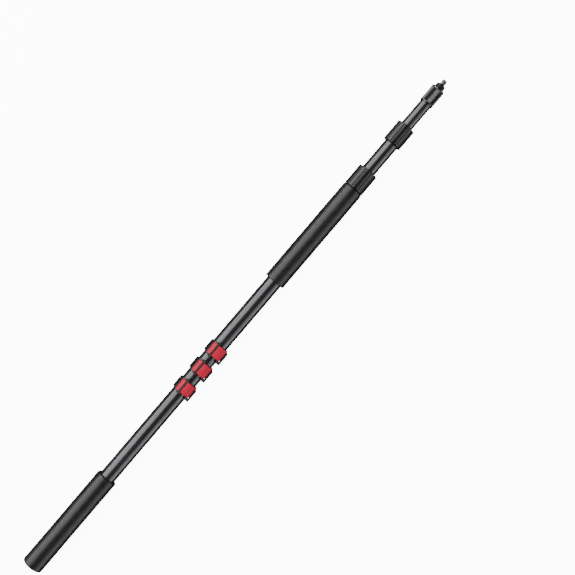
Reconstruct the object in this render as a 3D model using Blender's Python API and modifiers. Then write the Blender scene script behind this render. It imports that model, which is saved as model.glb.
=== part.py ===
"""Telescopic boom pole: three tubes, two twist locks, two foam grips, a threaded tip and three cable clips.

Frame: metres, +Z up. The pole lies along X with its rear end at -X and its tip at +X, on the plane z = 0.
Stations are distances along the pole from its rear end.
"""

import math

import bmesh
import bpy
import numpy as np

# Driving dimensions ------------------------------------------------------------------------------

POLE_LENGTH = 1.046
SEGMENTS = 32
COLLAR_SEGMENTS = 36
STUD_SEGMENTS = 14

GAP = 0.0003
GLIDE_GAP = 0.0002
STOP_LIP_GAP = 0.00025

MAIN_RADIUS = 0.0140
MAIN_BORE = 0.0130
MIDDLE_RADIUS = 0.01235
MIDDLE_BORE = 0.0114
INNER_RADIUS = 0.01065
INNER_BORE = 0.00975

GRIP_RADIUS = 0.0184
GRIP_EDGE = 0.0012
REAR_GRIP_END = 0.1910
REAR_GRIP_WALL = 0.0030
REAR_GRIP_CORNER = 0.0030
FRONT_GRIP_START = 0.6130
FRONT_GRIP_END = 0.8115

PLUG_FLANGE = 0.0020
PLUG_END = 0.0200
PLUG_FLOOR = 0.0030
PLUG_WALL = 0.0022

STOP_LIP_INSET = 0.0790
STOP_LIP_LENGTH = 0.0040

# Twist locks: each collar's rear face, length and outer radius
MAIN_LOCK = {"station": 0.8123, "length": 0.0387, "radius": 0.0178}
MIDDLE_LOCK = {"station": 0.9093, "length": 0.0377, "radius": 0.01635}
LOCK_TUBE_DEPTH = 0.0200
FERRULE_INSET = 0.0005
FERRULE_LENGTH = 0.0225
FERRULE_THICKNESS = 0.0014
FERRULE_THREADS = 2
THREAD_DEPTH = 0.0004
COLLET_END = 0.0340
COLLET_NOSE = 0.0013
COLLET_ROOT = 0.0030
COLLET_ROOT_INSET = 0.0005
COLLET_SLIT = 0.0012
SEAL_END = 0.0366
SEAL_THICKNESS = 0.0010
COLLAR_LIP_GAP = 0.00045
COLLAR_CORNER = 0.0012
RIB_COUNT = 12
RIB_GROOVE_WIDTH = 0.0016
RIB_GROOVE_DEPTH = 0.0007
RIB_GROOVE_INSET = 0.0018

# Guide bushes behind the two sliding tubes
MIDDLE_TUBE_START = 0.0850
INNER_TUBE_START = 0.1600
BUSH_FLANGE = 0.0080
BUSH_SPIGOT = 0.0120
BUSH_WALL = 0.0026

# Tip
TIP_START = 0.9960
TIP_END = 1.0285
TIP_RADIUS = 0.01215
TIP_SOCKET = 0.0180
TIP_CHAMFER = 0.0016
STUD_DEPTH = 0.0110
STUD_RADIUS = 0.0047625
STUD_PITCH = 0.0254 / 16
STUD_THREAD_DEPTH = 0.0008
STUD_ROWS_PER_TURN = 3
STUD_POINT = 0.0010
RING_START = TIP_END + GAP
RING_END = 1.0360
RING_RADIUS = 0.0082
RING_CORNER = 0.0014

# Cable clips. Their sections are drawn in the plane across the pole: out is towards -Y, up is towards +Z.
CLIP_STATIONS = (0.3875, 0.4283, 0.4657)
PAD_RADII = (0.01425, 0.01495)
PAD_ANGLES = (70, 377)
PAD_HALF_LENGTH = 0.0090
BAND_RADII = (0.0152, 0.0168)
BAND_ANGLES = (67, 382)
BAND_HALF_LENGTH = 0.0102
BAND_HALF_LENGTH_AT_HINGE = 0.01475
BAND_HALF_LENGTH_AT_MOUTH = 0.0112
BAND_STEPS = 42
HINGE = (-0.0010, 0.0194)
PIN_RADIUS = 0.0009
PIN_HALF_LENGTH = 0.0140
PIN_HOLE_RADIUS = 0.00115
LUG_RADIUS = 0.0024
LUG_INNER = 0.0108
LUG_OUTER = 0.0143
LUG_BASE = ((-0.0045, 0.0159), (0.0025, 0.0159))
LATCH_HALF_LENGTH = 0.0105
BARREL_RADIUS = 0.0022
LATCH_CLEARANCE_RADIUS = 0.0172
CHANNEL_CENTRE = (0.0116, 0.0136)
CHANNEL_RADIUS = 0.0032
LATCH_OUTSIDE = ((0.01475, 0.0072), (0.0164, 0.0072), (0.0164, 0.0152), (0.0148, 0.0180), (0.0085, 0.0209))
COVER_RADIUS = 0.0171
COVER_ANGLES = (102, 125)
COVER_OUTSIDE = ((-0.0098, 0.0166), (-0.0076, 0.0196), (-0.0036, 0.0210))
TAB_SECTION = (
    (0.0167, 0.0074),
    (0.0180, 0.0074),
    (0.0205, 0.0088),
    (0.0205, 0.0104),
    (0.0186, 0.0114),
    (0.0176, 0.0134),
    (0.0167, 0.0136),
)
TAB_SPAN = (-0.0162, 0.0100)
TAB_HEEL = ((0.0140, 0.0092), (0.0172, 0.0092), (0.0172, 0.0128), (0.0140, 0.0128))
TAB_HEEL_END = -0.0108
TAB_CHAMFER = 0.0040
TAB_CHAMFER_TALL = 6.0

TAB_REACH = max(out for out, up in TAB_SECTION)
GRIP_FLAT_RADIUS = GRIP_RADIUS * math.cos(math.pi / SEGMENTS)
REAR_X = -POLE_LENGTH / 2
AXIS_Y = (TAB_REACH - GRIP_FLAT_RADIUS) / 2
AXIS_Z = GRIP_FLAT_RADIUS

MATERIALS = {
    "black_anodised": ((0.018, 0.018, 0.020), 0.28, 0.85),
    "black_foam": ((0.040, 0.040, 0.042), 0.92, 0.0),
    "black_polymer": ((0.012, 0.012, 0.013), 0.42, 0.0),
    "grey_polymer": ((0.110, 0.110, 0.115), 0.50, 0.0),
    "black_rubber": ((0.015, 0.015, 0.015), 0.80, 0.0),
    "red_polymer": ((0.560, 0.020, 0.030), 0.36, 0.0),
    "threaded_metal": ((0.300, 0.300, 0.310), 0.32, 1.0),
    "steel_pin": ((0.450, 0.450, 0.460), 0.30, 1.0),
}


# Scene helpers -----------------------------------------------------------------------------------


def clear_scene():
    for scene_object in list(bpy.data.objects):
        bpy.data.objects.remove(scene_object, do_unlink=True)


def new_collection(name):
    collection = bpy.data.collections.new(name)
    bpy.context.scene.collection.children.link(collection)
    return collection


def make_material(name):
    colour, roughness, metallic = MATERIALS[name]
    material = bpy.data.materials.new(name)
    material.use_nodes = True
    shader = material.node_tree.nodes["Principled BSDF"]
    shader.inputs["Base Color"].default_value = (*colour, 1.0)
    shader.inputs["Roughness"].default_value = roughness
    shader.inputs["Metallic"].default_value = metallic
    return material


def make_anchor(name, parent, station=0.0, out=0.0, up=0.0):
    """Empty on a joint's axis. Its children are placed from it."""
    anchor = bpy.data.objects.new(name, None)
    parts_collection.objects.link(anchor)
    anchor.parent = parent
    anchor.location = (station, -out, up)
    return anchor


def move_to_collection(scene_object, collection):
    for owner in list(scene_object.users_collection):
        owner.objects.unlink(scene_object)
    collection.objects.link(scene_object)


def mesh_from(scene_object):
    """The object's evaluated mesh, welded and with its faces pointing out."""
    bpy.context.view_layer.update()
    evaluated = scene_object.evaluated_get(bpy.context.evaluated_depsgraph_get())
    mesh = bpy.data.meshes.new_from_object(evaluated)
    form = bmesh.new()
    form.from_mesh(mesh)
    bmesh.ops.remove_doubles(form, verts=form.verts, dist=1e-6)
    bmesh.ops.recalc_face_normals(form, faces=form.faces)
    form.to_mesh(mesh)
    form.free()
    return mesh


def solid_from(source, name, collection):
    """Replaces a curve, or an object with modifiers, by a plain mesh object in the same place."""
    solid = bpy.data.objects.new(name, mesh_from(source))
    collection.objects.link(solid)
    solid.matrix_world = source.matrix_world
    bpy.data.objects.remove(source, do_unlink=True)
    return solid


def boolean(target, cutter, operation):
    modifier = target.modifiers.new(operation.lower(), "BOOLEAN")
    modifier.operation = operation
    modifier.solver = "EXACT"
    modifier.object = cutter
    cutter.hide_render = True
    cutter.display_type = "WIRE"


def finish_part(part, name, material, parent):
    """Names the part, gives it its material and smooth shading, and hangs it on its anchor."""
    if part.modifiers:
        part.data = mesh_from(part)
        part.modifiers.clear()
    part.name = name
    part.data.name = name
    part.data.materials.clear()
    part.data.materials.append(materials[material])
    part.data.shade_smooth()
    part.data.set_sharp_from_angle(angle=math.radians(32))
    part.parent = parent
    return part


# Shapes ------------------------------------------------------------------------------------------


def turned_solid(name, profile, collection, segments=SEGMENTS, origin=0.0):
    """A profile of (station, radius) points turned about the pole's axis.

    A profile that starts and ends on the axis is left open there; any other is closed to a loop.
    """
    on_axis = profile[0][1] == 0.0
    mesh = bpy.data.meshes.new(name)
    form = bmesh.new()
    corners = [form.verts.new((station - origin, radius, 0.0)) for station, radius in profile]
    for first, second in zip(corners, corners[1:]):
        form.edges.new((first, second))
    if not on_axis:
        form.edges.new((corners[-1], corners[0]))
    form.to_mesh(mesh)
    form.free()
    source = bpy.data.objects.new(name + "_profile", mesh)
    collection.objects.link(source)
    screw = source.modifiers.new("turn", "SCREW")
    screw.axis = "X"
    screw.steps = segments
    screw.render_steps = segments
    screw.use_merge_vertices = True
    screw.merge_threshold = 1e-6
    source.rotation_euler.x = math.pi / segments
    return solid_from(source, name, collection)


def turned_part(name, profile, material, parent, origin=0.0, segments=SEGMENTS):
    part = turned_solid(name, profile, parts_collection, segments, origin)
    return finish_part(part, name, material, parent)


def extruded_solid(name, outlines, low, high, collection):
    """Outlines of (out, up) points, the first the outside and the rest holes, extruded from low to high."""
    curve = bpy.data.curves.new(name, "CURVE")
    curve.dimensions = "2D"
    curve.fill_mode = "BOTH"
    curve.extrude = (high - low) / 2
    for outline in outlines:
        spline = curve.splines.new("POLY")
        spline.points.add(len(outline) - 1)
        for point, (out, up) in zip(spline.points, outline):
            point.co = (-out, up, 0.0, 1.0)
        spline.use_cyclic_u = True
    source = bpy.data.objects.new(name + "_outline", curve)
    collection.objects.link(source)
    source.rotation_euler = (math.pi / 2, 0.0, math.pi / 2)
    source.location.x = (low + high) / 2
    return solid_from(source, name, collection)


def arc(centre, radius, start, end, steps):
    """Points of (out, up) on an arc. Angles are in degrees, from out towards up."""
    angles = np.radians(np.linspace(start, end, steps))
    return [(centre[0] + radius * math.cos(a), centre[1] + radius * math.sin(a)) for a in angles]


def circle(centre, radius, steps):
    return arc(centre, radius, 0, 360 * (steps - 1) / steps, steps)


def curved_sheet(name, radii, angles, half_length, steps, collection):
    """A sheet bent round the pole from one angle to another, as thick as its two radii say.

    half_length gives half the sheet's length along the pole at an angle in degrees.
    """
    middle = sum(radii) / 2
    form = bmesh.new()
    bmesh.ops.create_grid(form, x_segments=steps, y_segments=1, size=1.0)
    for corner in form.verts:
        degrees = np.interp(corner.co.x, (-1, 1), angles)
        along = corner.co.y * half_length(degrees)
        turn = math.radians(degrees)
        corner.co = (along, -middle * math.cos(turn), middle * math.sin(turn))
    mesh = bpy.data.meshes.new(name)
    form.to_mesh(mesh)
    form.free()
    sheet = bpy.data.objects.new(name + "_sheet", mesh)
    collection.objects.link(sheet)
    solidify = sheet.modifiers.new("thickness", "SOLIDIFY")
    solidify.thickness = radii[1] - radii[0]
    solidify.offset = 0.0
    solidify.use_even_offset = True
    return solid_from(sheet, name, collection)


# Tubes, bushes and grips -------------------------------------------------------------------------


def make_tube(name, start, end, radius, bore, slider_radius, parent, origin):
    """A tube. With a slider_radius it has a stop lip inside, which its slider's bush comes up against."""
    outside = [(start, radius), (end, radius)]
    inside = [(end, bore), (start, bore)]
    if slider_radius:
        lip_start = end - STOP_LIP_INSET
        lip_end = lip_start + STOP_LIP_LENGTH
        lip = slider_radius + STOP_LIP_GAP
        inside[1:1] = [(lip_end, bore), (lip_end, lip), (lip_start, lip), (lip_start, bore)]
    return turned_part(name, outside + inside, "black_anodised", parent, origin)


def make_guide_bush(name, tube_start, tube_bore, outer_bore, parent):
    """Flanged bush in a sliding tube's rear end. Its flange runs in the bore of the tube outside."""
    flange_start = tube_start - GAP - BUSH_FLANGE
    flange_end = tube_start - GAP
    spigot_end = tube_start + BUSH_SPIGOT
    flange = outer_bore - GLIDE_GAP
    spigot = tube_bore - GAP
    hole = spigot - BUSH_WALL
    profile = [
        (flange_start, hole),
        (flange_start, flange),
        (flange_end, flange),
        (flange_end, spigot),
        (spigot_end, spigot),
        (spigot_end, hole),
    ]
    turned_part(name, profile, "grey_polymer", parent, tube_start)


def make_rear_grip(parent):
    bore = MAIN_RADIUS + GAP
    corner = REAR_GRIP_CORNER
    outside = arc((corner, GRIP_RADIUS - corner), corner, 180, 90, 4)
    profile = [(0.0, 0.0)] + outside
    profile += [
        (REAR_GRIP_END - GRIP_EDGE, GRIP_RADIUS),
        (REAR_GRIP_END, GRIP_RADIUS - GRIP_EDGE),
        (REAR_GRIP_END, bore),
        (REAR_GRIP_WALL, bore),
        (REAR_GRIP_WALL, 0.0),
    ]
    turned_part("rear_grip", profile, "black_foam", parent)


def make_front_grip(parent):
    bore = MAIN_RADIUS + GAP
    profile = [
        (FRONT_GRIP_START, bore),
        (FRONT_GRIP_START, GRIP_RADIUS - GRIP_EDGE),
        (FRONT_GRIP_START + GRIP_EDGE, GRIP_RADIUS),
        (FRONT_GRIP_END - GRIP_EDGE, GRIP_RADIUS),
        (FRONT_GRIP_END, GRIP_RADIUS - GRIP_EDGE),
        (FRONT_GRIP_END, bore),
    ]
    turned_part("front_grip", profile, "black_foam", parent)


def make_rear_plug(parent):
    start = REAR_GRIP_WALL + GAP
    shoulder = start + PLUG_FLANGE
    plug = MAIN_BORE - GAP
    hollow = plug - PLUG_WALL
    profile = [
        (start, 0.0),
        (start, MAIN_RADIUS),
        (shoulder, MAIN_RADIUS),
        (shoulder, plug),
        (PLUG_END, plug),
        (PLUG_END, hollow),
        (start + PLUG_FLOOR, hollow),
        (start + PLUG_FLOOR, 0.0),
    ]
    turned_part("rear_end_plug", profile, "grey_polymer", parent)


# Twist locks -------------------------------------------------------------------------------------


def make_ferrule(name, lock, tube_radius, slider_radius, parent, origin):
    """Threaded sleeve bonded round the tube's front end, with a lip that covers the tube's rim."""
    start = lock["station"] + FERRULE_INSET
    end = start + FERRULE_LENGTH
    lip_start = lock["station"] + LOCK_TUBE_DEPTH + GAP
    crest = tube_radius + FERRULE_THICKNESS
    root = crest - THREAD_DEPTH
    pitch = FERRULE_LENGTH / (FERRULE_THREADS + 1)
    outside = [(start, crest)]
    for index in range(1, FERRULE_THREADS + 1):
        groove = start + index * pitch
        outside += [(groove - pitch / 4, crest), (groove, root), (groove + pitch / 4, crest)]
    outside.append((end, crest))
    inside = [
        (end, slider_radius + GAP),
        (lip_start, slider_radius + GAP),
        (lip_start, tube_radius + GAP),
        (start, tube_radius + GAP),
    ]
    turned_part(name, outside + inside, "black_anodised", parent, origin)


def make_collet(name, lock, tube_radius, slider_radius, parent, origin):
    """Tapered ring, slit from its nose into four fingers, that the collar squeezes onto its slider."""
    start = lock["station"] + FERRULE_INSET + FERRULE_LENGTH + GAP
    end = lock["station"] + COLLET_END
    profile = [
        (start, slider_radius + GAP),
        (start, collet_root_radius(tube_radius)),
        (end, slider_radius + COLLET_NOSE),
        (end, slider_radius + GAP),
    ]
    collet = turned_solid(name, profile, parts_collection, SEGMENTS, origin)
    slit_start = start + COLLET_ROOT - origin
    slit_length = end + COLLET_ROOT - origin - slit_start
    for index in range(2):
        bpy.ops.mesh.primitive_cube_add(size=1.0)
        slit = bpy.context.object
        slit.name = f"{name}_slit_{index + 1}"
        slit.scale = (slit_length, COLLET_SLIT, 3 * tube_radius)
        slit.rotation_euler.x = index * math.pi / 2
        slit.location.x = slit_start + slit_length / 2
        move_to_collection(slit, cutters_collection)
        boolean(collet, slit, "DIFFERENCE")
    finish_part(collet, name, "grey_polymer", parent)


def collet_root_radius(tube_radius):
    return tube_radius + FERRULE_THICKNESS - COLLET_ROOT_INSET


def make_collar(name, lock, tube_radius, slider_radius, parent):
    """Knurled nut: threaded over the ferrule, with a cone that closes the collet and a lip at its nose."""
    length = lock["length"]
    radius = lock["radius"]
    thread_end = FERRULE_INSET + FERRULE_LENGTH + GAP
    thread_bore = tube_radius + FERRULE_THICKNESS + GAP
    nose_bore = slider_radius + COLLET_NOSE + GAP
    profile = [
        (0.0, thread_bore),
        (0.0, radius - COLLAR_CORNER),
        (COLLAR_CORNER, radius),
        (length - COLLAR_CORNER, radius),
        (length, radius - COLLAR_CORNER),
        (length, slider_radius + COLLAR_LIP_GAP),
        (SEAL_END, slider_radius + COLLAR_LIP_GAP),
        (SEAL_END, nose_bore),
        (COLLET_END + GAP, nose_bore),
        (thread_end, collet_root_radius(tube_radius) + GAP),
        (thread_end, thread_bore),
    ]
    collar = turned_solid(name, profile, parts_collection, COLLAR_SEGMENTS)
    boolean(collar, make_groove_cutter(name, length, radius), "DIFFERENCE")
    finish_part(collar, name, "black_polymer", parent)


def make_groove_cutter(name, length, radius):
    """Twelve bars in a ring, which leave as many ribs between them."""
    form = bmesh.new()
    for index in range(RIB_COUNT):
        made = bmesh.ops.create_cube(form, size=1.0)
        bar = made["verts"]
        size = (length - 2 * RIB_GROOVE_INSET, RIB_GROOVE_WIDTH, 2 * RIB_GROOVE_DEPTH)
        bmesh.ops.scale(form, vec=size, verts=bar)
        bmesh.ops.translate(form, vec=(length / 2, 0.0, radius), verts=bar)
        turn = (index + 0.5) * 2 * math.pi / RIB_COUNT
        rotation = np.array(
            ((1, 0, 0), (0, math.cos(turn), -math.sin(turn)), (0, math.sin(turn), math.cos(turn)))
        )
        for corner in bar:
            corner.co = rotation @ np.array(corner.co)
    mesh = bpy.data.meshes.new(name + "_grooves")
    form.to_mesh(mesh)
    form.free()
    cutter = bpy.data.objects.new(name + "_grooves", mesh)
    cutters_collection.objects.link(cutter)
    return cutter


def make_seal(name, lock, slider_radius, parent):
    """Rubber wiper ring in the collar's nose."""
    start = COLLET_END + 2 * GAP
    end = SEAL_END - GAP
    inner = slider_radius + GAP
    outer = inner + SEAL_THICKNESS
    middle = (start + end) / 2
    profile = [(start, inner), (start, outer), (end, outer), (end, inner), (middle, inner)]
    turned_part(name, profile, "black_rubber", parent)


def make_lock(prefix, lock, tube_radius, slider_radius, tube_anchor, tube_origin, collar_anchor):
    make_ferrule(prefix + "_ferrule", lock, tube_radius, slider_radius, tube_anchor, tube_origin)
    make_collet(prefix + "_collet", lock, tube_radius, slider_radius, tube_anchor, tube_origin)
    make_collar(prefix + "_lock_collar", lock, tube_radius, slider_radius, collar_anchor)
    make_seal(prefix + "_seal_ring", lock, slider_radius, collar_anchor)


# Tip ---------------------------------------------------------------------------------------------


def make_tip_cap(parent, origin):
    socket = INNER_RADIUS + GAP
    socket_end = TIP_START + TIP_SOCKET + GAP
    stud_hole = STUD_RADIUS + GAP
    stud_floor = TIP_END - STUD_DEPTH - GAP
    profile = [
        (socket_end, 0.0),
        (socket_end, socket),
        (TIP_START, socket),
        (TIP_START, TIP_RADIUS),
        (TIP_END - TIP_CHAMFER, TIP_RADIUS),
        (TIP_END, TIP_RADIUS - TIP_CHAMFER),
        (TIP_END, stud_hole),
        (stud_floor, stud_hole),
        (stud_floor, 0.0),
    ]
    turned_part("tip_cap", profile, "black_polymer", parent, origin)


def make_tip_stud(parent, origin):
    """Stud with a helical thread: rows of points whose radius follows the helix."""
    start = TIP_END - STUD_DEPTH
    thread_start = TIP_END - STUD_PITCH
    thread_end = POLE_LENGTH - STUD_POINT
    rows = round((thread_end - thread_start) / STUD_PITCH * STUD_ROWS_PER_TURN)
    core = STUD_RADIUS - STUD_THREAD_DEPTH
    profile = [(start, 0.0), (start, core), (thread_start, core)]
    profile += [(thread_start + (i + 0.5) * (thread_end - thread_start) / rows, core) for i in range(rows)]
    profile += [(thread_end, core), (POLE_LENGTH, core - STUD_POINT / 2), (POLE_LENGTH, 0.0)]
    stud = turned_solid("tip_stud", profile, parts_collection, STUD_SEGMENTS, origin)
    for corner in stud.data.vertices:
        station = corner.co.x + origin
        if thread_start + 1e-6 < station < thread_end - 1e-6:
            turn = math.atan2(corner.co.z, corner.co.y) / (2 * math.pi)
            phase = (station / STUD_PITCH - turn) % 1.0
            radius = core + STUD_THREAD_DEPTH * (1 - abs(2 * phase - 1))
            scale = radius / math.hypot(corner.co.y, corner.co.z)
            corner.co.y *= scale
            corner.co.z *= scale
    finish_part(stud, "tip_stud", "threaded_metal", parent)


def make_tip_ring(parent, origin):
    bore = STUD_RADIUS + GAP
    profile = [(RING_START, bore), (RING_START, RING_RADIUS)]
    profile += arc((RING_END - RING_CORNER, RING_RADIUS - RING_CORNER), RING_CORNER, 90, 0, 4)
    profile.append((RING_END, bore))
    turned_part("tip_lock_ring", profile, "black_anodised", parent, origin)


# Cable clips -------------------------------------------------------------------------------------


def from_hinge(points):
    """The same (out, up) points, measured from the hinge."""
    return [(out - HINGE[0], up - HINGE[1]) for out, up in points]


def band_half_length(degrees):
    """Longest beside the hinge, with straight tapers either way as seen from above."""
    if degrees > 180:
        return BAND_HALF_LENGTH
    outs = [-BAND_RADII[1], HINGE[0], BAND_RADII[1] * math.cos(math.radians(BAND_ANGLES[0]))]
    halves = [BAND_HALF_LENGTH, BAND_HALF_LENGTH_AT_HINGE, BAND_HALF_LENGTH_AT_MOUTH]
    return np.interp(BAND_RADII[1] * math.cos(math.radians(degrees)), outs, halves)


def make_clip_band(name, parent):
    """Open ring round the tube, widened at the hinge, with a lug at each end of the pin."""
    band = curved_sheet(name, BAND_RADII, BAND_ANGLES, band_half_length, BAND_STEPS, parts_collection)
    outline = list(LUG_BASE) + arc(HINGE, LUG_RADIUS, 0, 180, 9)
    hole = circle(HINGE, PIN_HOLE_RADIUS, 12)
    for side, (low, high) in enumerate(((-LUG_OUTER, -LUG_INNER), (LUG_INNER, LUG_OUTER))):
        lug = extruded_solid(f"{name}_lug_{side + 1}", [outline, hole], low, high, cutters_collection)
        boolean(band, lug, "UNION")
    finish_part(band, name, "black_polymer", parent)


def make_clip_pad(name, parent):
    def pad_half_length(degrees):
        return PAD_HALF_LENGTH

    pad = curved_sheet(name, PAD_RADII, PAD_ANGLES, pad_half_length, SEGMENTS, parts_collection)
    finish_part(pad, name, "black_rubber", parent)


def make_clip_cover(name, parent):
    outline = arc((0, 0), COVER_RADIUS, *COVER_ANGLES, 5) + list(COVER_OUTSIDE)
    cover = extruded_solid(name, [outline], -LATCH_HALF_LENGTH, LATCH_HALF_LENGTH, parts_collection)
    finish_part(cover, name, "red_polymer", parent)


def make_clip_pin(name, parent):
    profile = [
        (-PIN_HALF_LENGTH, 0.0),
        (-PIN_HALF_LENGTH, PIN_RADIUS),
        (PIN_HALF_LENGTH, PIN_RADIUS),
        (PIN_HALF_LENGTH, 0.0),
    ]
    turned_part(name, profile, "steel_pin", parent, segments=12)


def make_clip_latch(name, parent):
    """Arched lever from the hinge over the cable channel."""
    inside = arc((0, 0), LATCH_CLEARANCE_RADIUS, 88, 66, 5)
    inside += arc(CHANNEL_CENTRE, CHANNEL_RADIUS, 150, -35, 10)
    barrel = arc(HINGE, BARREL_RADIUS, 88, 285, 11)
    outline = from_hinge(inside + list(LATCH_OUTSIDE) + barrel)
    hole = from_hinge(circle(HINGE, PIN_HOLE_RADIUS, 12))
    span = (-LATCH_HALF_LENGTH, LATCH_HALF_LENGTH)
    latch = extruded_solid(name, [outline, hole], *span, parts_collection)
    finish_part(latch, name, "red_polymer", parent)


def make_clip_tab(name, parent):
    """Thumb tab on the latch's outer face, with a heel behind it and its front outer corner cut off."""
    tab = extruded_solid(name, [from_hinge(TAB_SECTION)], *TAB_SPAN, parts_collection)
    heel_span = (TAB_SPAN[0], TAB_HEEL_END)
    heel = extruded_solid(name + "_heel", [from_hinge(TAB_HEEL)], *heel_span, cutters_collection)
    boolean(tab, heel, "UNION")
    bpy.ops.mesh.primitive_cube_add(size=math.sqrt(2) * TAB_CHAMFER)
    corner = bpy.context.object
    corner.name = name + "_corner"
    corner.scale.z = TAB_CHAMFER_TALL
    corner.rotation_euler.z = math.pi / 4
    corner.location = (TAB_SPAN[1], HINGE[0] - TAB_REACH, TAB_SECTION[0][1] - HINGE[1])
    move_to_collection(corner, cutters_collection)
    boolean(tab, corner, "DIFFERENCE")
    finish_part(tab, name, "black_polymer", parent)


def make_clip(number, station, parent):
    prefix = f"clip_{number}"
    clip = make_anchor(prefix + "_slide", parent, station)
    hinge = make_anchor(prefix + "_hinge", clip, 0.0, *HINGE)
    make_clip_band(prefix + "_band", clip)
    make_clip_pad(prefix + "_pad", clip)
    make_clip_cover(prefix + "_cover", clip)
    make_clip_pin(prefix + "_pin", hinge)
    make_clip_latch(prefix + "_latch", hinge)
    make_clip_tab(prefix + "_tab", hinge)


# The pole ----------------------------------------------------------------------------------------


def make_main_section(pole):
    start = REAR_GRIP_WALL + PLUG_FLANGE + 2 * GAP
    end = MAIN_LOCK["station"] + LOCK_TUBE_DEPTH
    make_tube("main_tube", start, end, MAIN_RADIUS, MAIN_BORE, MIDDLE_RADIUS, pole, 0.0)
    make_rear_plug(pole)
    make_rear_grip(pole)
    make_front_grip(pole)
    collar = make_anchor("main_collar_axis", pole, MAIN_LOCK["station"])
    make_lock("main", MAIN_LOCK, MAIN_RADIUS, MIDDLE_RADIUS, pole, 0.0, collar)


def make_middle_section(pole):
    slide = make_anchor("middle_section_slide", pole, MIDDLE_TUBE_START)
    end = MIDDLE_LOCK["station"] + LOCK_TUBE_DEPTH
    origin = MIDDLE_TUBE_START
    make_tube("middle_tube", origin, end, MIDDLE_RADIUS, MIDDLE_BORE, INNER_RADIUS, slide, origin)
    make_guide_bush("middle_guide_bush", origin, MIDDLE_BORE, MAIN_BORE, slide)
    collar = make_anchor("middle_collar_axis", slide, MIDDLE_LOCK["station"] - origin)
    make_lock("middle", MIDDLE_LOCK, MIDDLE_RADIUS, INNER_RADIUS, slide, origin, collar)
    return slide


def make_inner_section(middle):
    origin = INNER_TUBE_START
    slide = make_anchor("inner_section_slide", middle, origin - MIDDLE_TUBE_START)
    end = TIP_START + TIP_SOCKET
    make_tube("inner_tube", origin, end, INNER_RADIUS, INNER_BORE, None, slide, origin)
    make_guide_bush("inner_guide_bush", origin, INNER_BORE, MIDDLE_BORE, slide)
    make_tip_cap(slide, origin)
    make_tip_stud(slide, origin)
    ring = make_anchor("tip_ring_axis", slide, RING_START - origin)
    make_tip_ring(ring, RING_START)


def make_pole():
    pole = make_anchor("pole_axis", None)
    pole.location = (REAR_X, AXIS_Y, AXIS_Z)
    make_main_section(pole)
    middle = make_middle_section(pole)
    make_inner_section(middle)
    for number, station in enumerate(CLIP_STATIONS, start=1):
        make_clip(number, station, pole)


clear_scene()
parts_collection = new_collection("boom_pole")
cutters_collection = new_collection("cutters")
materials = {name: make_material(name) for name in MATERIALS}
make_pole()
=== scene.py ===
"""Looks of the telescopic boom pole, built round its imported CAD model. Metres throughout.

The pole lies along X on the floor. Sections across it are drawn as (out, up) points from its axis: out is
towards -Y, where the cable channels are, and up is towards +Z.
"""

import math

import bmesh
import bpy
import numpy as np
from mathutils import Matrix, Vector, noise


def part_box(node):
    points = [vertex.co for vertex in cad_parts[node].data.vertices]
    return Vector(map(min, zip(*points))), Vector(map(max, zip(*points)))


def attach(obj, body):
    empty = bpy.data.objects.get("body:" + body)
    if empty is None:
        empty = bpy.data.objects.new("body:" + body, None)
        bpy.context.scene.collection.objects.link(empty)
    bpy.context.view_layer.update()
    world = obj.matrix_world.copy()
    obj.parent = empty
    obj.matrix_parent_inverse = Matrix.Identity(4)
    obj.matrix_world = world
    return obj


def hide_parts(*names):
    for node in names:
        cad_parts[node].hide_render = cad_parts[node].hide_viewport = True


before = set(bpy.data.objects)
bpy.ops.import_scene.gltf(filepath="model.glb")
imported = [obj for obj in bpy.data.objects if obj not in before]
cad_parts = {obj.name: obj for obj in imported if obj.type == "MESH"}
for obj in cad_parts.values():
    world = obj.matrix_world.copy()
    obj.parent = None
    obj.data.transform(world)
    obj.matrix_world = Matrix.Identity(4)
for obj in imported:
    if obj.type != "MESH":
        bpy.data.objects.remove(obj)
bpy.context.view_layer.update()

# Real sizes --------------------------------------------------------------------------------------

MAIN_RADIUS, MAIN_BORE = 0.0140, 0.0130
MIDDLE_RADIUS, MIDDLE_BORE = 0.01235, 0.0114
INNER_RADIUS, INNER_BORE = 0.01065, 0.00975
GAP = 0.0003
TUBE_EDGE = 0.0003
BORE_CHAMFER = 0.0004
FOAM_RADIUS = 0.0183
FOAM_BORE = 0.0143
FOAM_EDGE = 0.0014
FOAM_END_WALL = 0.0030
FOAM_END_CORNER = 0.0032
FOAM_WAVE = {"per_metre": 28.0, "height": 0.00005}
FOAM_DIMPLE = {"per_metre": 420.0, "height": 0.000035}
LOCKS = {
    "main": {"radius": 0.0178, "tube": MAIN_RADIUS, "slider": MIDDLE_RADIUS, "body": "main_collar"},
    "middle": {"radius": 0.01635, "tube": MIDDLE_RADIUS, "slider": INNER_RADIUS, "body": "middle_collar"},
}
RIBS = 12
RIB_GROOVE_DEPTH = 0.00075
RIB_GROOVE_HALF_WIDTH = 0.00085
RIB_CROWN = 0.00012
RIB_FLOOR = 0.0020
RIB_INSET = 0.0008
RIB_RUN_OUT = 0.0016
COLLAR_CORNER = 0.0015
COLLAR_LIP_GAP = 0.00045
COLLAR_LIP_LENGTH = 0.0021
COLLAR_LIP_CHAMFER = 0.0005
COLLAR_REAR_STEP = 0.0004
SEAL_DEPTH = 0.0016
SEAL_POCKET = 0.0044
THREAD_WALL = 0.0017
THREAD_END = 0.0233
THREAD_STEP = 0.0005
TIP_RADIUS = 0.01215
TIP_RIM = 0.0022
TIP_CHAMFER = 0.0016
TIP_CHAMFER_EDGE = 0.0006
TIP_SOCKET = 0.0183
TIP_RIDGES = 60
TIP_RIDGE_DEPTH = 0.00040
RING_RADIUS = 0.0082
RING_CORNER = 0.0014
RING_RIDGES = 36
RING_RIDGE_DEPTH = 0.00016
STUD_RADIUS = 0.0047625
STUD_PITCH = 0.0254 / 16
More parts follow.
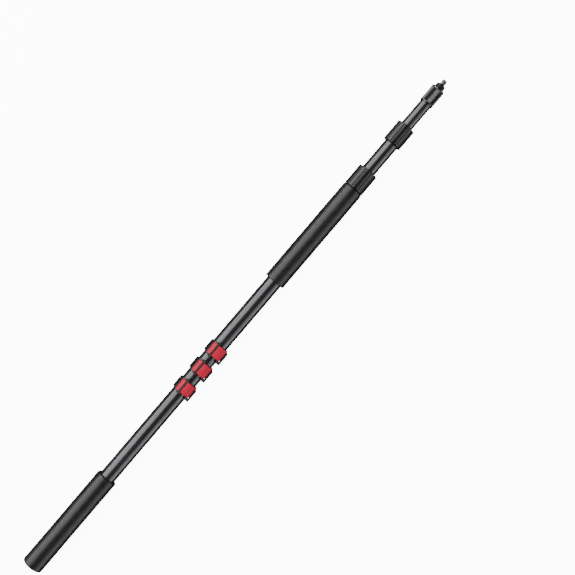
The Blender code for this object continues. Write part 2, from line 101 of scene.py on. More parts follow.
STUD_THREAD_DEPTH = 0.0009
STUD_PLAIN_LENGTH = 0.0095
STUD_HOLE_DEPTH = 0.0113
HINGE = (-0.0010, 0.0194)
CLIPS = (1, 2, 3)
SHARP = 35

inner_low, inner_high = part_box("inner_tube")
AXIS_Y = (inner_low.y + inner_high.y) / 2
AXIS_Z = (inner_low.z + inner_high.z) / 2


# Shape helpers -----------------------------------------------------------------------------------


def span(node):
    """Where a CAD node starts and ends along the pole."""
    low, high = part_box(node)
    return low.x, high.x


def arc(centre, radius, start, end, steps):
    """Points on an arc, angles in degrees."""
    angles = np.radians(np.linspace(start, end, steps))
    return [(centre[0] + radius * math.cos(a), centre[1] + radius * math.sin(a)) for a in angles]


def filleted(corners, steps=5, closed=True):
    """Rounds a polygon. Each corner is (a, b) or, to be rounded, (a, b, radius)."""
    points = []
    count = len(corners)
    for index, corner in enumerate(corners):
        here = Vector(corner[:2])
        radius = corner[2] if len(corner) == 3 else 0.0
        if radius == 0.0 or (not closed and index in (0, count - 1)):
            points.append(tuple(here))
            continue
        before = (Vector(corners[index - 1][:2]) - here).normalized()
        after = (Vector(corners[(index + 1) % count][:2]) - here).normalized()
        half = before.angle(after) / 2
        reach = radius / math.tan(half)
        centre = here + (before + after).normalized() * (radius / math.sin(half))
        first = here + before * reach - centre
        last = here + after * reach - centre
        sweep = first.angle_signed(last)
        for step in range(steps):
            turned = first.copy()
            turned.rotate(Matrix.Rotation(-sweep * step / (steps - 1), 2))
            points.append(tuple(centre + turned))
    return points


def mesh_object(name, vertices, faces, sharp=SHARP):
    """A closed mesh with its faces pointing out, smooth but for edges sharper than the angle."""
    mesh = bpy.data.meshes.new(name)
    mesh.from_pydata([tuple(v) for v in vertices], [], faces)
    piece = bpy.data.objects.new(name, mesh)
    bpy.context.scene.collection.objects.link(piece)
    return clean(piece, sharp)


def clean(piece, sharp=SHARP):
    """Welds the mesh, turns its faces out and shades it smooth but for its sharp edges."""
    form = bmesh.new()
    form.from_mesh(piece.data)
    bmesh.ops.remove_doubles(form, verts=form.verts, dist=1e-7)
    bmesh.ops.recalc_face_normals(form, faces=form.faces)
    form.to_mesh(piece.data)
    form.free()
    piece.data.shade_smooth()
    piece.data.set_sharp_from_angle(angle=math.radians(sharp))
    return piece


def lathe(name, profile, segments=96, shape=None, sharp=SHARP):
    """Turns a closed profile of (x, radius) points about the pole's axis.

    shape(x, radius, angle) gives a point's real radius. Points of radius 0 lie on the axis.
    """
    vertices = []
    rows = []
    for x, radius in profile:
        if radius == 0.0:
            rows.append([len(vertices)] * segments)
            vertices.append((x, AXIS_Y, AXIS_Z))
            continue
        rows.append(list(range(len(vertices), len(vertices) + segments)))
        for index in range(segments):
            angle = 2 * math.pi * index / segments
            real = shape(x, radius, angle) if shape else radius
            vertices.append((x, AXIS_Y - real * math.cos(angle), AXIS_Z + real * math.sin(angle)))
    faces = []
    on_axis = profile[0][1] == 0.0
    pairs = list(zip(rows, rows[1:]))
    if not on_axis:
        pairs.append((rows[-1], rows[0]))
    for row, following in pairs:
        for index in range(segments):
            after = (index + 1) % segments
            corners = [row[index], row[after], following[after], following[index]]
            unique = list(dict.fromkeys(corners))
            if len(unique) > 2:
                faces.append(unique)
    return mesh_object(name, vertices, faces, sharp)


def stations(start, end, count):
    """Evenly spaced places between start and end, without the two ends."""
    return np.linspace(start, end, count + 1)[1:-1]


def at_axis(x, out, up):
    """The point of a section across the pole at x."""
    return Vector((x, AXIS_Y - out, AXIS_Z + up))


def extrusion(name, outline, low, high, soft_edge=0.0, steps=3, outer=None, sharp=SHARP):
    """An (out, up) outline from x = low to high. soft_edge rounds the rims of its ends where outer allows."""
    form = bmesh.new()
    ends = [[form.verts.new(at_axis(x, *point)) for point in outline] for x in (low, high)]
    form.faces.new(ends[0])
    form.faces.new(ends[1])
    count = len(outline)
    rims = []
    for index in range(count):
        after = (index + 1) % count
        form.faces.new((ends[0][index], ends[0][after], ends[1][after], ends[1][index]))
        middle = [(outline[index][k] + outline[after][k]) / 2 for k in (0, 1)]
        if outer is None or outer(*middle):
            rims += [form.edges.get((end[index], end[after])) for end in ends]
    bmesh.ops.recalc_face_normals(form, faces=form.faces)
    if soft_edge:
        bmesh.ops.bevel(form, geom=rims, offset=soft_edge, segments=steps, profile=0.5, affect="EDGES")
    mesh = bpy.data.meshes.new(name)
    form.to_mesh(mesh)
    form.free()
    piece = bpy.data.objects.new(name, mesh)
    bpy.context.scene.collection.objects.link(piece)
    return clean(piece, sharp)


def bent_bar(name, radii, angles, half_length, steps, corner):
    """A bar bent round the pole: a rounded rectangle, as thick as the radii say, swept through the angles."""
    vertices = []
    faces = []
    inner, outer = radii
    for step in range(steps + 1):
        degrees = angles[0] + (angles[1] - angles[0]) * step / steps
        half = half_length(degrees)
        section = filleted(
            [(-half, inner, corner), (half, inner, corner), (half, outer, corner), (-half, outer, corner)], 4
        )
        turn = math.radians(degrees)
        for along, radius in section:
            vertices.append(at_axis(along, radius * math.cos(turn), radius * math.sin(turn)))
    count = len(section)
    for step in range(steps):
        for index in range(count):
            after = (index + 1) % count
            first, second = step * count, (step + 1) * count
            faces.append((first + index, first + after, second + after, second + index))
    faces.append(list(range(count)))
    faces.append(list(range(steps * count, (steps + 1) * count)))
    return mesh_object(name, vertices, faces)


def apply_modifiers(piece, sharp=SHARP):
    bpy.context.view_layer.update()
    evaluated = piece.evaluated_get(bpy.context.evaluated_depsgraph_get())
    piece.data = bpy.data.meshes.new_from_object(evaluated)
    piece.modifiers.clear()
    return clean(piece, sharp)


def combine(piece, other, operation):
    """Cuts or joins two pieces into one, and removes the second."""
    modifier = piece.modifiers.new(operation.lower(), "BOOLEAN")
    modifier.operation = operation
    modifier.solver = "EXACT"
    modifier.object = other
    apply_modifiers(piece)
    bpy.data.objects.remove(other, do_unlink=True)


def soften(piece, width, segments=3, angle=40):
    """Rounds every edge sharper than the angle."""
    bevel = piece.modifiers.new("soft edges", "BEVEL")
    bevel.width = width
    bevel.segments = segments
    bevel.limit_method = "ANGLE"
    bevel.angle_limit = math.radians(angle)
    return apply_modifiers(piece)


def dress(piece, body, nodes, material):
    """Hangs a finished piece on its body in place of its CAD nodes."""
    piece.data.materials.clear()
    piece.data.materials.append(material)
    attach(piece, body)
    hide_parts(*nodes)


# Materials ---------------------------------------------------------------------------------------


class Surface:
    """A Principled material, with short ways to add its noise, colour and bump nodes."""

    def __init__(self, name, colour, roughness, metallic=0.0, **sockets):
        self.material = bpy.data.materials.new(name)
        self.material.use_nodes = True
        self.tree = self.material.node_tree
        self.shader = self.tree.nodes["Principled BSDF"]
        self.shader.inputs["Base Color"].default_value = (*colour, 1.0)
        self.shader.inputs["Roughness"].default_value = roughness
        self.shader.inputs["Metallic"].default_value = metallic
        for socket, value in sockets.items():
            self.shader.inputs[socket.replace("_", " ")].default_value = value
        self.coordinates = self.tree.nodes.new("ShaderNodeTexCoord").outputs["Object"]
        self.height = None

    def node(self, kind, **values):
        made = self.tree.nodes.new(kind)
        for name, value in values.items():
            setattr(made, name, value)
        return made

    def link(self, source, target):
        self.tree.links.new(source, target)

    def stretched(self, scale):
        mapping = self.node("ShaderNodeMapping")
        mapping.inputs["Scale"].default_value = scale
        self.link(self.coordinates, mapping.inputs["Vector"])
        return mapping.outputs["Vector"]

    def noise(self, size, detail=3.0, roughness=0.5, stretch=(1.0, 1.0, 1.0)):
        """Noise with features of about the given size in metres."""
        texture = self.node("ShaderNodeTexNoise")
        texture.inputs["Scale"].default_value = 1.0
        texture.inputs["Detail"].default_value = detail
        texture.inputs["Roughness"].default_value = roughness
        self.link(self.stretched([s / size for s in stretch]), texture.inputs["Vector"])
        return texture.outputs["Fac"]

    def cells(self, size):
        texture = self.node("ShaderNodeTexVoronoi", feature="F1")
        texture.inputs["Scale"].default_value = 1.0
        self.link(self.stretched([1.0 / size] * 3), texture.inputs["Vector"])
        return texture.outputs["Distance"]

    def spread(self, value, low, high, out_low, out_high):
        """Maps low..high to out_low..out_high, clamped."""
        ramp = self.node("ShaderNodeMapRange")
        limits = {"From Min": low, "From Max": high, "To Min": out_low, "To Max": out_high}
        for name, number in limits.items():
            ramp.inputs[name].default_value = number
        self.link(value, ramp.inputs["Value"])
        return ramp.outputs["Result"]

    def colour(self, value, dark, light):
        """Base colour from dark to light as value goes from 0.3 to 0.7."""
        ramp = self.node("ShaderNodeValToRGB")
        ramp.color_ramp.elements[0].position = 0.3
        ramp.color_ramp.elements[0].color = (*dark, 1.0)
        ramp.color_ramp.elements[1].position = 0.7
        ramp.color_ramp.elements[1].color = (*light, 1.0)
        self.link(value, ramp.inputs["Fac"])
        self.link(ramp.outputs["Color"], self.shader.inputs["Base Color"])

    def roughness(self, value, low, high):
        """Roughness from low to high as value goes from 0.3 to 0.7."""
        self.link(self.spread(value, 0.3, 0.7, low, high), self.shader.inputs["Roughness"])

    def bump(self, value, depth):
        """Adds relief, its full depth in metres."""
        bump = self.node("ShaderNodeBump")
        bump.inputs["Strength"].default_value = 1.0
        bump.inputs["Distance"].default_value = depth
        self.link(value, bump.inputs["Height"])
        if self.height:
            self.link(self.height, bump.inputs["Normal"])
        self.height = bump.outputs["Normal"]
        self.link(self.height, self.shader.inputs["Normal"])
        return self


def make_anodised(name, tone):
    """Drawn aluminium under a satin black anodised layer: fine draw lines and a faint cloudiness."""
    surface = Surface(name, (tone, tone, tone), 0.26, 0.85)
    lines = surface.noise(0.00035, 2.0, 0.6, (0.012, 1.0, 1.0))
    clouds = surface.noise(0.018, 4.0, 0.55, (0.35, 1.0, 1.0))
    dark, light = 0.89 * tone, 1.11 * tone
    surface.colour(clouds, (dark, dark, 1.04 * dark), (light, light, 1.05 * light))
    surface.roughness(clouds, 0.23, 0.29)
    return surface.bump(lines, 0.0000035).material


def make_foam():
    """Closed-cell foam: fine pores in a charcoal skin with a dull gloss, and soft uneven patches."""
    surface = Surface("charcoal_foam", (0.012, 0.012, 0.012), 0.36)
    pores = surface.cells(0.0008)
    grain = surface.noise(0.0004, 3.0, 0.6)
    patches = surface.noise(0.012, 4.0, 0.6)
    tone = surface.node("ShaderNodeMath", operation="MULTIPLY_ADD")
    surface.link(surface.spread(pores, 0.0, 0.6, 0.25, 0.55), tone.inputs[0])
    tone.inputs[1].default_value = 1.0
    surface.link(surface.spread(patches, 0.3, 0.7, -0.12, 0.16), tone.inputs[2])
    surface.colour(tone.outputs["Value"], (0.005, 0.005, 0.005), (0.015, 0.015, 0.015))
    surface.roughness(patches, 0.33, 0.42)
    surface.bump(patches, 0.00012)
    surface.bump(grain, 0.000014)
    return surface.bump(pores, 0.000035).material


def make_moulded(name, dark, light, roughness, texture_size=0.0003, specular=0.5):
    """Moulded plastic with a fine spark-eroded texture and a slight unevenness in gloss."""
    middle = [(d + l) / 2 for d, l in zip(dark, light)]
    surface = Surface(name, middle, roughness, Specular_IOR_Level=specular)
    patches = surface.noise(0.006, 4.0, 0.55)
    surface.colour(patches, dark, light)
    surface.roughness(patches, roughness - 0.05, roughness + 0.06)
    surface.bump(surface.noise(0.004, 2.0, 0.5), 0.00002)
    return surface.bump(surface.noise(texture_size, 2.0, 0.6), 0.000010).material


def make_rubber():
    surface = Surface("matt_rubber", (0.016, 0.016, 0.016), 0.80)
    surface.colour(surface.noise(0.003, 4.0, 0.6), (0.012, 0.012, 0.012), (0.022, 0.022, 0.021))
    return surface.bump(surface.noise(0.0002, 2.0, 0.6), 0.00002).material


def make_machined(name, dark, light, roughness):
    """Turned metal: fine tool marks round the axis."""
    surface = Surface(name, light, roughness, 1.0)
    marks = surface.noise(0.00012, 2.0, 0.6, (1.0, 0.02, 0.02))
    surface.colour(surface.noise(0.002, 3.0, 0.6), dark, light)
    surface.roughness(marks, roughness - 0.06, roughness + 0.10)
    return surface.bump(marks, 0.000004).material


tube_metal = make_anodised("satin_black_tube", 0.092)
ring_metal = make_anodised("black_tip_ring", 0.020)
foam = make_foam()
BLACK = ((0.006, 0.006, 0.006), (0.010, 0.010, 0.011))
CLIP_BLACK = ((0.005, 0.005, 0.005), (0.010, 0.010, 0.010))
CLIP_RED = ((0.50, 0.005, 0.032), (0.62, 0.009, 0.044))
BUSH_GREY = ((0.09, 0.09, 0.095), (0.13, 0.13, 0.135))
lock_plastic = make_moulded("satin_black_plastic", *BLACK, 0.30)
knurled_plastic = make_moulded("knurled_black_tip", *BLACK, 0.25, specular=0.9)
clip_black = make_moulded("clip_black_plastic", *CLIP_BLACK, 0.34)
clip_red = make_moulded("clip_red_plastic", *CLIP_RED, 0.36, 0.0004, 0.30)
bush_plastic = make_moulded("grey_bush_plastic", *BUSH_GREY, 0.50)
rubber = make_rubber()
thread_metal = make_machined("machined_thread", (0.22, 0.22, 0.23), (0.34, 0.34, 0.35), 0.30)
pin_metal = make_machined("bright_pin", (0.40, 0.40, 0.41), (0.52, 0.52, 0.53), 0.28)


# Tubes, grips and the parts inside them ----------------------------------------------------------


def make_tube(node, body, radius, bore):
    start, end = span(node)
    corners = [(start, bore), (start, radius), (end, radius), (end, bore)]
    profile = filleted([(*corner, TUBE_EDGE) for corner in corners], 4)
    dress(lathe(node + "_skin", profile, 128), body, [node], tube_metal)


def foam_relief(x, radius, angle):
    """A sleeve that isn't quite even: soft waves, and a skin dimpled by hundredths of a millimetre."""
    point = Vector((x, radius * math.cos(angle), radius * math.sin(angle)))
    for relief in (FOAM_WAVE, FOAM_DIMPLE):
        radius += relief["height"] * (noise.noise(point * relief["per_metre"]) - 1.0)
    return radius


def foam_front(end):
    """The profile of a sleeve's front end, from its skin to its bore."""
    rim = arc((end - FOAM_EDGE, FOAM_RADIUS - FOAM_EDGE), FOAM_EDGE, 90, 0, 6)
    return rim + [(end, FOAM_BORE + BORE_CHAMFER), (end - BORE_CHAMFER, FOAM_BORE)]


def make_grip(name, node, profile):
    grip = lathe(name, profile, 128, foam_relief, 60)
    dress(grip, "main_section", [node], foam)


def make_rear_grip():
    """Sleeve with a closed, rounded rear end."""
    start, end = span("rear_grip")
    corner = FOAM_END_CORNER
    profile = [(start, 0.0), (start, 0.006), (start, 0.011)]
    profile += arc((start + corner, FOAM_RADIUS - corner), corner, 180, 90, 8)
    profile += [(x, FOAM_RADIUS) for x in stations(start + corner, end - FOAM_EDGE, 150)]
    profile += foam_front(end)
    profile += [(start + FOAM_END_WALL, FOAM_BORE), (start + FOAM_END_WALL, 0.0)]
    make_grip("rear_foam_grip", "rear_grip", profile)


def make_front_grip():
    """Sleeve open at both ends."""
    start, end = span("front_grip")
    profile = [(start + BORE_CHAMFER, FOAM_BORE), (start, FOAM_BORE + BORE_CHAMFER)]
    profile += arc((start + FOAM_EDGE, FOAM_RADIUS - FOAM_EDGE), FOAM_EDGE, 180, 90, 6)
    profile += [(x, FOAM_RADIUS) for x in stations(start + FOAM_EDGE, end - FOAM_EDGE, 150)]
    profile += foam_front(end)
    make_grip("front_foam_grip", "front_grip", profile)


# Twist locks -------------------------------------------------------------------------------------


def make_collar(prefix):
    """Ribbed nut. Twelve crowned ribs, one of them straight up, run out before its rounded ends."""
    lock = LOCKS[prefix]
    start, end = span(prefix + "_lock_collar")
    radius = lock["radius"]
    corner = COLLAR_CORNER
    thread_bore = lock["tube"] + THREAD_WALL
    nose_bore = lock["slider"] + SEAL_DEPTH
    lip = lock["slider"] + COLLAR_LIP_GAP
    lip_start = end - COLLAR_LIP_LENGTH

    def ribbed(x, here, angle):
        if here < radius - RIB_FLOOR:
            return here
        pitch = 2 * math.pi / RIBS
        off_rib = (angle - math.pi / 2 + pitch / 2) % pitch - pitch / 2
        to_groove = (pitch / 2 - abs(off_rib)) * radius
        from_end = min(x - start, end - x)
        fade = max(0.0, min(1.0, (from_end - RIB_INSET) / RIB_RUN_OUT))
        fade = fade * fade * (3 - 2 * fade)
        groove = RIB_GROOVE_DEPTH * math.exp(-((to_groove / RIB_GROOVE_HALF_WIDTH) ** 4))
        crown = RIB_CROWN * (2 * off_rib / pitch) ** 2
        return here - fade * (groove + crown)

    profile = [(start, thread_bore + GAP), (start, radius - corner - COLLAR_REAR_STEP)]
    profile += arc((start + corner, radius - corner), corner, 180, 90, 7)
    profile += [(x, radius) for x in stations(start + corner, end - corner, 22)]
    profile += arc((end - corner, radius - corner), corner, 90, 0, 7)
    profile += [(end, lip + COLLAR_LIP_CHAMFER), (end - COLLAR_LIP_CHAMFER, lip)]
    profile += [(lip_start, lip), (lip_start, nose_bore), (end - SEAL_POCKET, nose_bore)]
    profile += [(start + THREAD_END, thread_bore - THREAD_STEP)]
    profile += [(start + THREAD_END, thread_bore), (start + GAP, thread_bore)]
    collar = lathe(prefix + "_ribbed_collar", profile, 32 * RIBS, ribbed, 50)
    dress(collar, lock["body"], [prefix + "_lock_collar"], lock_plastic)


# Tip ---------------------------------------------------------------------------------------------


def make_tip_cap():
    """Socket on the inner tube's end, with fine straight ridges between two plain rims."""
    start, end = span("tip_cap")
    ridges_start, ridges_end = start + TIP_RIM, end - TIP_RIM - TIP_CHAMFER
    socket = INNER_RADIUS + GAP
    rim_edge = 0.0005

    def ridged(x, here, angle):
        if here < TIP_RADIUS - 1e-5 or not ridges_start < x < ridges_end:
            return here
        phase = TIP_RIDGES * angle / (2 * math.pi) % 1.0
        return here - TIP_RIDGE_DEPTH * abs(2 * phase - 1)

    profile = [(start + TIP_SOCKET, 0.0), (start + TIP_SOCKET, socket)]
    profile += [(start + GAP, socket), (start, socket + GAP)]
    profile += arc((start + rim_edge, TIP_RADIUS - rim_edge), rim_edge, 180, 90, 5)
    profile += [(ridges_start, TIP_RADIUS)]
    profile += [(x, TIP_RADIUS) for x in stations(ridges_start, ridges_end, 72)]
    profile += [(ridges_end, TIP_RADIUS)]
    front = [
        (ridges_end, TIP_RADIUS),
        (end - TIP_CHAMFER, TIP_RADIUS, TIP_CHAMFER_EDGE),
        (end, TIP_RADIUS - TIP_CHAMFER, TIP_CHAMFER_EDGE),
        (end, STUD_RADIUS + GAP),
    ]
    profile += filleted(front, 4, closed=False)[1:]
    profile += [(end - STUD_HOLE_DEPTH, STUD_RADIUS + GAP), (end - STUD_HOLE_DEPTH, 0.0)]
    cap = lathe("tip_knurled_cap", profile, 6 * TIP_RIDGES, ridged, 20)
    dress(cap, "inner_section", ["tip_cap"], knurled_plastic)


def make_stud():
    """3/8 inch stud with 16 threads to the inch, cut as one continuous helix."""
    start, end = span("tip_stud")
    thread_start = start + STUD_PLAIN_LENGTH
    thread_end = end - 0.0006
    run_out_length = 0.0007
    core = STUD_RADIUS - STUD_THREAD_DEPTH

    def threaded(x, here, angle):
        if not thread_start < x < thread_end + 1e-6 or here < core - 1e-6:
            return here
        phase = (x / STUD_PITCH - angle / (2 * math.pi)) % 1.0
        flank = min(1.0, max(0.0, 1.45 * (1 - abs(2 * phase - 1)) - 0.2))
        from_end = min(thread_end - x, x - thread_start)
        return core + STUD_THREAD_DEPTH * flank * max(0.0, min(1.0, from_end / run_out_length))

    profile = [(start, 0.0), (start, core), (thread_start, core)]
    profile += [(x, core) for x in stations(thread_start, thread_end, 130)]
    profile += [(thread_end, core), (end - 0.0002, core - 0.0003), (end, core - 0.0008), (end, 0.0)]
    stud = lathe("tip_threaded_stud", profile, 64, threaded, 40)
    dress(stud, "inner_section", ["tip_stud"], thread_metal)


def make_tip_ring():
    """Jam ring that turns on the stud, finely ridged round its edge."""
    start, end = span("tip_lock_ring")
    corner = RING_CORNER
    edge = 0.0006

    def ridged(x, here, angle):
        if here < RING_RADIUS - 1e-5:
            return here
        return here - RING_RIDGE_DEPTH * (1 - math.cos(RING_RIDGES * angle)) / 2

    bore = STUD_RADIUS + GAP
    profile = [(start, bore + GAP)]
    profile += arc((start + edge, RING_RADIUS - edge), edge, 180, 90, 5)
    profile += [(x, RING_RADIUS) for x in stations(start + edge, end - corner, 8)]
    profile += arc((end - corner, RING_RADIUS - corner), corner, 90, 0, 7)
    profile += [(end, bore + BORE_CHAMFER), (end - BORE_CHAMFER, bore), (start + GAP, bore)]
    ring = lathe("tip_ridged_ring", profile, 6 * RING_RIDGES, ridged, 40)
    dress(ring, "tip_ring", ["tip_lock_ring"], ring_metal)


# Cable clips -------------------------------------------------------------------------------------

BAND_RADII = (0.0152, 0.0168)
BAND_ANGLES = (67, 382)
BAND_HALF = 0.0102
BAND_HALF_AT_HINGE = 0.01475
BAND_HALF_AT_MOUTH = 0.0112
PAD_RADII = (0.01425, 0.01495)
PAD_ANGLES = (70, 377)
PAD_HALF = 0.0090
PIN_RADIUS = 0.0009
PIN_HALF = 0.0140
PIN_HOLE_RADIUS = 0.00115
BARREL_RADIUS = 0.0016
LUG_RADIUS = 0.0024
LUG_SPANS = ((-0.0143, -0.0108), (0.0108, 0.0143))
LUG_FOOT = [(-0.0047, 0.0159), (0.0027, 0.0159), (0.0023, 0.0170, 0.0006)]
CHANNEL_CENTRE = (0.0116, 0.0136)
CHANNEL_RADIUS = 0.0032
LATCH_HALF = 0.0105
LATCH_INNER_RADIUS = 0.0172
LATCH_OUTSIDE = [
    (0.01475, 0.0072, 0.0002),
    (0.0164, 0.0072, 0.0005),
    (0.0164, 0.0152, 0.0012),
    (0.0148, 0.0180, 0.0012),
    (0.0085, 0.0209, 0.0008),
    (0.0007, 0.0209, 0.0005),
    (0.0005, 0.0185),
]
COVER_INNER_RADIUS = 0.0171
COVER_ANGLES = (102, 125)
COVER_OUTSIDE = [(-0.0098, 0.0166, 0.0007), (-0.0076, 0.0196, 0.0010), (-0.0031, 0.0210, 0.0003)]
COVER_SOFT_ABOVE = 0.0172
RED_SOFT_EDGE = 0.0009
TAB_SPAN = (-0.0162, 0.0100)
TAB_REACH = 0.0205
TAB_SLOPE = (Vector((TAB_REACH, 0.0104)), Vector((0.0176, 0.0134)))
TAB_RIDGES = 4
TAB_RIDGE_HEIGHT = 0.0003
TAB_CORNER = 0.0040
HEEL_SPAN = (-0.0162, -0.0106)
HEEL = [
    (0.0126, 0.0091),
    (0.0172, 0.0092),
    (0.0172, 0.0128),
    (0.0144, 0.0128),
    (0.0138, 0.0103),
    (0.0126, 0.0101),
]


def band_half_length(degrees):
    """Longest beside the hinge, with straight tapers either way as seen from above."""
    if degrees > 180:
        return BAND_HALF
    outs = [-BAND_RADII[1], HINGE[0], BAND_RADII[1] * math.cos(math.radians(BAND_ANGLES[0]))]
    halves = [BAND_HALF, BAND_HALF_AT_HINGE, BAND_HALF_AT_MOUTH]
    return np.interp(BAND_RADII[1] * math.cos(math.radians(degrees)), outs, halves)


def drill_for_pin(piece, low, high):
    """Cuts the hinge pin's hole through a piece that lies between low and high."""
    hole = extrusion("pin_hole", arc(HINGE, PIN_HOLE_RADIUS, 0, 345, 24), low - 0.001, high + 0.001)
    combine(piece, hole, "DIFFERENCE")


def make_band(name):
    """Open ring with a pair of drilled lugs for the hinge pin."""
    band = bent_bar(name, BAND_RADII, BAND_ANGLES, band_half_length, 90, 0.0004)
    outline = filleted(LUG_FOOT) + arc(HINGE, LUG_RADIUS, 8, 172, 24)
    for low, high in LUG_SPANS:
        lug = extrusion(name + "_lug", outline, low, high, 0.00035, 3, lambda out, up: up > 0.0165)
        drill_for_pin(lug, low, high)
        combine(band, lug, "UNION")
    return band


def make_latch(name):
    """Arched lever: flat top, sloping face and outer wall round the cable channel."""
    inside = arc((0, 0), LATCH_INNER_RADIUS, 88, 66, 12)
    inside += arc(CHANNEL_CENTRE, CHANNEL_RADIUS, 150, -35, 24)
    outside = filleted([inside[-1]] + LATCH_OUTSIDE, 6, closed=False)

    def outer(out, up):
        return up > 0.0195 or out > 0.0150 or (out > 0.0080 and up > 0.0172)

    return extrusion(name, inside + outside[1:], -LATCH_HALF, LATCH_HALF, RED_SOFT_EDGE, 5, outer, 30)


def make_cover(name):
    """Fixed red block beside the hinge."""
    inside = arc((0, 0), COVER_INNER_RADIUS, *COVER_ANGLES, 12)
    outside = filleted([inside[-1]] + COVER_OUTSIDE + [inside[0]], 6, closed=False)
    outline = inside + outside[1:-1]

    def outer(out, up):
        return up > COVER_SOFT_ABOVE

    return extrusion(name, outline, -LATCH_HALF, LATCH_HALF, RED_SOFT_EDGE, 5, outer, 30)


def make_tab(name):
    """The lever's black insert: a ridged thumb tab with a heel and a cut corner, and the hinge barrel, made
    black as painted shade for the groove between the red cover and latch.
    """
    along = (TAB_SLOPE[1] - TAB_SLOPE[0]) / TAB_RIDGES
    out_of = Vector((along.y, -along.x)).normalized() * TAB_RIDGE_HEIGHT
    serrated = []
    for index in range(TAB_RIDGES):
        foot = TAB_SLOPE[0] + along * index
        serrated += [tuple(foot - out_of * 0.5), tuple(foot + along * 0.5 - out_of * 0.1)]
    outline = [(0.0167, 0.0074), (0.0180, 0.0074), (TAB_REACH, 0.0088), (TAB_REACH, 0.0100)] + serrated
    outline += [tuple(TAB_SLOPE[1]), (0.0167, 0.0136)]
    tab = extrusion(name, outline, *TAB_SPAN)
    combine(tab, extrusion(name + "_heel", HEEL, *HEEL_SPAN), "UNION")
    combine(tab, make_corner_cutter(name + "_corner"), "DIFFERENCE")
    # The hinge barrel fills the groove between the red cover and the red latch; its black is painted shade
    # for that groove.
    barrel = extrusion(name + "_barrel", arc(HINGE, BARREL_RADIUS, 0, 350, 36), -LATCH_HALF, LATCH_HALF)
    drill_for_pin(barrel, -LATCH_HALF, LATCH_HALF)
    combine(tab, barrel, "UNION")
    return soften(tab, 0.00025, 3, SHARP)


def make_corner_cutter(name):
    """A block whose rear face slants across the tab's front outer corner."""
    edge = TAB_REACH - TAB_CORNER
    beyond = TAB_REACH + TAB_CORNER
    cutter = extrusion(name, [(edge, 0.0), (beyond, 0.0), (beyond, 0.03), (edge, 0.03)], 0.0, TAB_CORNER)
    for vertex in cutter.data.vertices:
        is_rear = vertex.co.x < TAB_CORNER / 2
        slant = AXIS_Y - vertex.co.y - edge
        vertex.co.x = TAB_SPAN[1] - slant if is_rear else 2 * TAB_SPAN[1]
    return cutter


def make_pin(name):
    """Hinge pin with rounded ends, lying along its hinge."""
    edge = 0.0003
    profile = [(-PIN_HALF, 0.0)]
    profile += arc((edge - PIN_HALF, PIN_RADIUS - edge), edge, 180, 90, 4)
    profile += arc((PIN_HALF - edge, PIN_RADIUS - edge), edge, 90, 0, 4)
    profile += [(PIN_HALF, 0.0)]
    pin = lathe(name, profile, 32)
    pin.data.transform(Matrix.Translation((0.0, -HINGE[0], HINGE[1])))
    return pin


def make_pad(name):
    """Rubber liner between the band and the tube."""
    return bent_bar(name, PAD_RADII, PAD_ANGLES, lambda degrees: PAD_HALF, 72, 0.0002)


def make_clips():
    """Each piece is made once, across x = 0, and copied to each clip's place."""
    kinds = {
        "band": (make_band("band"), "", "clip_black", clip_black),
        "pad": (make_pad("pad"), "", "soft_rubber", rubber),
        "cover": (make_cover("cover"), "", "clip_red", clip_red),
        "pin": (make_pin("pin"), "", "pin_steel", pin_metal),
        "latch": (make_latch("latch"), "_lever", "clip_red", clip_red),
        "tab": (make_tab("tab"), "_lever", "clip_black", clip_black),
    }
    for number in CLIPS:
        low, high = span(f"clip_{number}_latch")
        shift = Matrix.Translation(((low + high) / 2, 0.0, 0.0))
        for kind, (pattern, body_ending, slot, material) in kinds.items():
            piece = bpy.data.objects.new(f"clip_{number}_{kind}_skin", pattern.data.copy())
            bpy.context.scene.collection.objects.link(piece)
            piece.data.transform(shift)
            dress(piece, f"clip_{number}{body_ending}", [f"clip_{number}_{kind}"], material)
    for pattern, _, _, _ in kinds.values():
        bpy.data.objects.remove(pattern, do_unlink=True)


# Camera, floor and light -------------------------------------------------------------------------

POLE_TILT = math.radians(49.55)
CAMERA_FROM_REAR = 0.6197
CAMERA_ASIDE = 0.023
CAMERA_HEIGHT = 1.80
CAMERA_LENS = 68.7
WHITE = (1.0, 1.0, 1.0, 1.0)
FLOOR_GLOW = 11.0
BACKDROP_GLOW = 12.0
SKY_STRENGTH = 0.035
FLOOR_SIZE = 14.0
BACKDROP_RADIUS = 6.8
SOFT_BOX_DISTANCE = 1.5
SOFT_BOX_LENGTH = 3.2


def make_camera():
    """Straight above the pole, turned so that the tip points to the upper right."""
    rear_x = span("rear_grip")[0]
    camera = bpy.data.objects.new("camera", bpy.data.cameras.new("camera"))
    bpy.context.scene.collection.objects.link(camera)
    camera.data.lens = CAMERA_LENS
    camera.location = (rear_x + CAMERA_FROM_REAR, AXIS_Y - CAMERA_ASIDE, AXIS_Z + CAMERA_HEIGHT)
    camera.rotation_euler = (0.0, 0.0, -POLE_TILT)
    bpy.context.scene.camera = camera


def stage_object(name, surface):
    """Names and stages the newest object, and keeps its glow off the pole."""
    piece = bpy.context.object
    piece.name = name
    piece.data.materials.append(surface.material)
    piece.visible_glossy = False
    piece.visible_diffuse = False
    return piece


def make_floor():
    bpy.ops.mesh.primitive_plane_add(size=FLOOR_SIZE)
    glow = {"Emission_Color": WHITE, "Emission_Strength": FLOOR_GLOW}
    surface = Surface("pale_floor", (0.86, 0.86, 0.86), 0.75, **glow)
    surface.colour(surface.noise(0.35, 3.0, 0.5), (0.85, 0.85, 0.85), (0.87, 0.87, 0.87))
    stage_object("floor", surface)


def make_backdrop():
    """A pale sphere round everything, which lets the lamps' shadows through."""
    bpy.ops.mesh.primitive_uv_sphere_add(radius=BACKDROP_RADIUS, segments=48, ring_count=24)
    glow = {"Emission_Color": WHITE, "Emission_Strength": BACKDROP_GLOW}
    backdrop = stage_object("backdrop", Surface("pale_backdrop", (0.0, 0.0, 0.0), 1.0, **glow))
    backdrop.visible_shadow = False


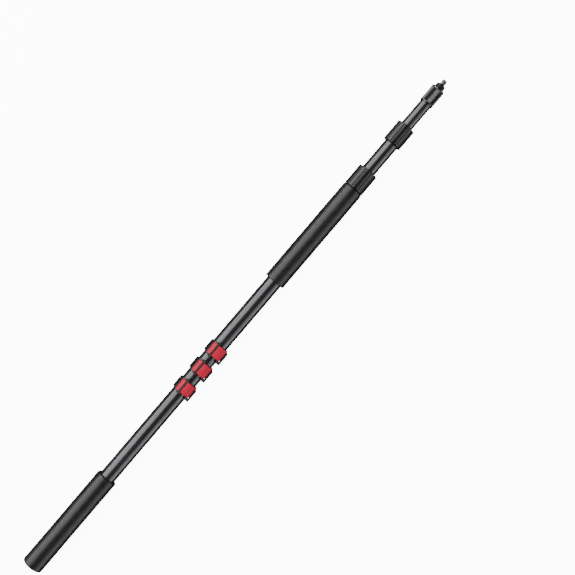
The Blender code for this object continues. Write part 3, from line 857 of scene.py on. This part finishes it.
def make_soft_box(name, side, elevation, height, power):
    """A long soft box beside the pole, square on to it. side is +1 for +Y and -1 for -Y."""
    light = bpy.data.lights.new(name, "AREA")
    light.shape = "RECTANGLE"
    light.size = SOFT_BOX_LENGTH
    light.size_y = height
    light.energy = power
    lamp = bpy.data.objects.new(name, light)
    bpy.context.scene.collection.objects.link(lamp)
    rise = math.radians(elevation)
    across = side * SOFT_BOX_DISTANCE * math.cos(rise)
    lamp.location = (0.0, across, SOFT_BOX_DISTANCE * math.sin(rise))
    lamp.rotation_euler = (side * (rise - math.pi / 2), 0.0, 0.0)


def make_light():
    """Long soft boxes beside the pole, the brighter pair on its far side, and a dim even sky."""
    make_soft_box("far_low_box", side=1, elevation=25.0, height=0.5, power=30.0)
    make_soft_box("far_high_box", side=1, elevation=56.0, height=0.9, power=33.0)
    make_soft_box("near_low_box", side=-1, elevation=12.0, height=0.4, power=15.0)
    make_soft_box("near_high_box", side=-1, elevation=36.0, height=0.5, power=8.0)
    world = bpy.data.worlds.new("studio")
    world.use_nodes = True
    background = world.node_tree.nodes["Background"]
    background.inputs["Color"].default_value = WHITE
    background.inputs["Strength"].default_value = SKY_STRENGTH
    bpy.context.scene.world = world


# The pole ----------------------------------------------------------------------------------------


def dress_hidden_parts():
    """Parts inside the tubes and collars keep their CAD shapes and take these materials."""
    kept = {
        "rear_end_plug": bush_plastic,
        "main_ferrule": tube_metal,
        "middle_ferrule": tube_metal,
        "main_collet": bush_plastic,
        "middle_collet": bush_plastic,
        "middle_guide_bush": bush_plastic,
        "inner_guide_bush": bush_plastic,
        "main_seal_ring": rubber,
        "middle_seal_ring": rubber,
    }
    for node, material in kept.items():
        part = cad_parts[node]
        part.data.materials.clear()
        part.data.materials.append(material)
        part.data.shade_smooth()
        part.data.set_sharp_from_angle(angle=math.radians(SHARP))


make_camera()
make_floor()
make_backdrop()
make_light()
make_tube("main_tube", "main_section", MAIN_RADIUS, MAIN_BORE)
make_tube("middle_tube", "middle_section", MIDDLE_RADIUS, MIDDLE_BORE)
make_tube("inner_tube", "inner_section", INNER_RADIUS, INNER_BORE)
make_rear_grip()
make_front_grip()
make_collar("main")
make_collar("middle")
make_tip_cap()
make_stud()
make_tip_ring()
make_clips()
dress_hidden_parts()
